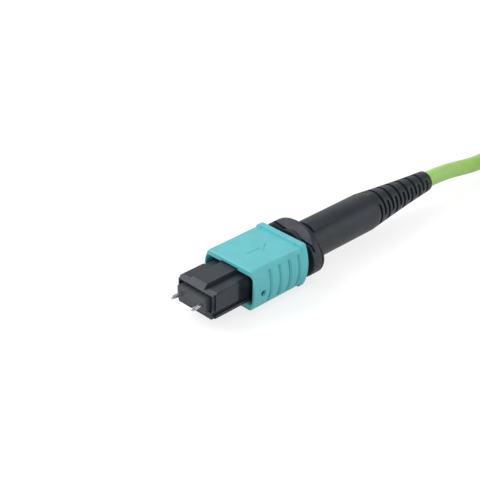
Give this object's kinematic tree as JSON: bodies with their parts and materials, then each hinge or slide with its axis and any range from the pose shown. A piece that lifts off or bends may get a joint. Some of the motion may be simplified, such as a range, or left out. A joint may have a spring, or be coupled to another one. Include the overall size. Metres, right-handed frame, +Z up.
{
  "type": "mpo fibre connector",
  "caption": "Push-on multi-fibre optical plug with guide pins, keyed nose, sliding grip sleeve and slotted strain relief boot, on a round cable put away as a tied hank with its far plug.",
  "frame": {"origin": "middle of the near plug's box, on the surface that the plug lies on", "axes": "+X out of the mating face, +Z up through the key, +Y to the left seen from behind the plug"},
  "size_m": [0.2064, 0.0276, 0.0132],
  "materials": {
    "ferrule_black": "fine matte",
    "pin_steel": "ground and polished",
    "ribbon": "clear",
    "spring_steel": "drawn wire",
    "housing_black": "satin moulded",
    "sleeve_aqua": "satin moulded",
    "yarn": "loose yarn",
    "crimp_metal": "satin",
    "boot_rubber": "satin",
    "cable_lime": "satin jacket",
    "tie_black": "matte strap"
  },
  "bodies": {
    "connector_body": {"inner_housing": "housing_black", "spring_push": "housing_black", "aramid_yarn": "yarn", "crimp_ring": "crimp_metal", "strain_relief_boot": "boot_rubber", "cable_in_boot": "cable_lime", "ferrule_spring": "spring_steel", "sleeve_spring_left": "spring_steel", "sleeve_spring_right": "spring_steel", "cord_tube": "cable_lime", "cord_hank": "cable_lime", "hank_tie": "tie_black", "cord_tube_far": "cable_lime", "far_inner_housing": "housing_black", "far_boot": "boot_rubber", "far_cable_in_boot": "cable_lime"},
    "sleeve": {"coupling_sleeve": "sleeve_aqua"},
    "ferrule_group": {"ferrule": "ferrule_black", "guide_pin_left": "pin_steel", "guide_pin_right": "pin_steel", "pin_keeper": "housing_black", "ferrule_boot": "boot_rubber", "fibre_ribbon": "ribbon"},
    "far_sleeve": {"far_coupling_sleeve": "sleeve_aqua"},
    "far_ferrule_group": {"far_ferrule": "ferrule_black", "far_guide_pins": "pin_steel"}
  },
  "joints": [
    {"name": "sleeve_slide", "type": "slide", "parent": "connector_body", "child": "sleeve", "axis": [-1, 0, 0], "range_m": [0, 0.0012], "stiffness_N_per_m": 1000, "deforming": ["sleeve_spring_left", "sleeve_spring_right"]},
    {"name": "ferrule_float", "type": "slide", "parent": "connector_body", "child": "ferrule_group", "axis": [-1, 0, 0], "range_m": [0, 0.0006], "stiffness_N_per_m": 2500, "deforming": ["ferrule_spring"]},
    {"name": "far_sleeve_slide", "type": "slide", "parent": "connector_body", "child": "far_sleeve", "axis": [1, 0, 0], "range_m": [0, 0.0012], "stiffness_N_per_m": 1000},
    {"name": "far_ferrule_float", "type": "slide", "parent": "connector_body", "child": "far_ferrule_group", "axis": [1, 0, 0], "range_m": [0, 0.0006], "stiffness_N_per_m": 2500}
  ]
}
